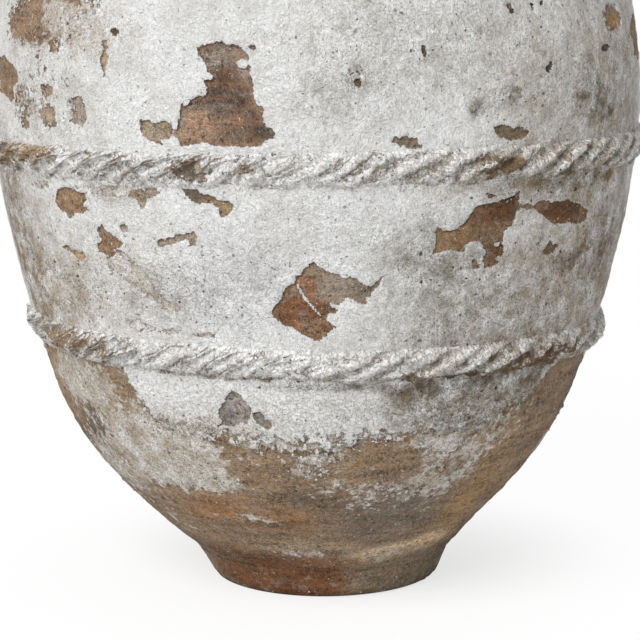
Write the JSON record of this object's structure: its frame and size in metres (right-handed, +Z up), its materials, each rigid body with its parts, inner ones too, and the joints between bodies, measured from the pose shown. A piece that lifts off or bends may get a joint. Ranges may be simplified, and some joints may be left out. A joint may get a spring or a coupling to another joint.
{
  "type": "storage jar",
  "caption": "Large egg-shaped clay storage jar on a narrow flat foot, with finger-pressed rope bands, a flaked limewash coat and a thick rolled rim round a wide mouth.",
  "frame": {"origin": "middle of the flat underside that the jar stands on", "axes": "+Z up along the jar's axis; the pictured side faces -Y, with +X to the right"},
  "size_m": [0.6965, 0.6963, 0.9],
  "materials": {
    "fired_clay": "coarse fired clay, worn and soil-stained",
    "limewashed_clay": "coarse fired clay under worn limewash",
    "limewash": "matt chalky limewash, pitted and flaked"
  },
  "bodies": {
    "root": {"base_slab": "fired_clay", "belly_limewash": "limewash", "foot_ring": "fired_clay", "lower_limewash": "limewash", "lower_rope_band": "limewashed_clay", "middle_limewash": "limewash", "neck_ring": "limewashed_clay", "rim_roll": "limewashed_clay", "shoulder_limewash": "limewash", "shoulder_rope_band": "limewashed_clay", "upper_rope_band": "limewashed_clay", "wall_course_1": "fired_clay", "wall_course_2": "fired_clay", "wall_course_3": "fired_clay", "wall_course_4": "fired_clay", "wall_course_5": "fired_clay", "wall_course_6": "fired_clay", "wall_course_7": "fired_clay", "wall_course_8": "fired_clay"}
  },
  "joints": []
}
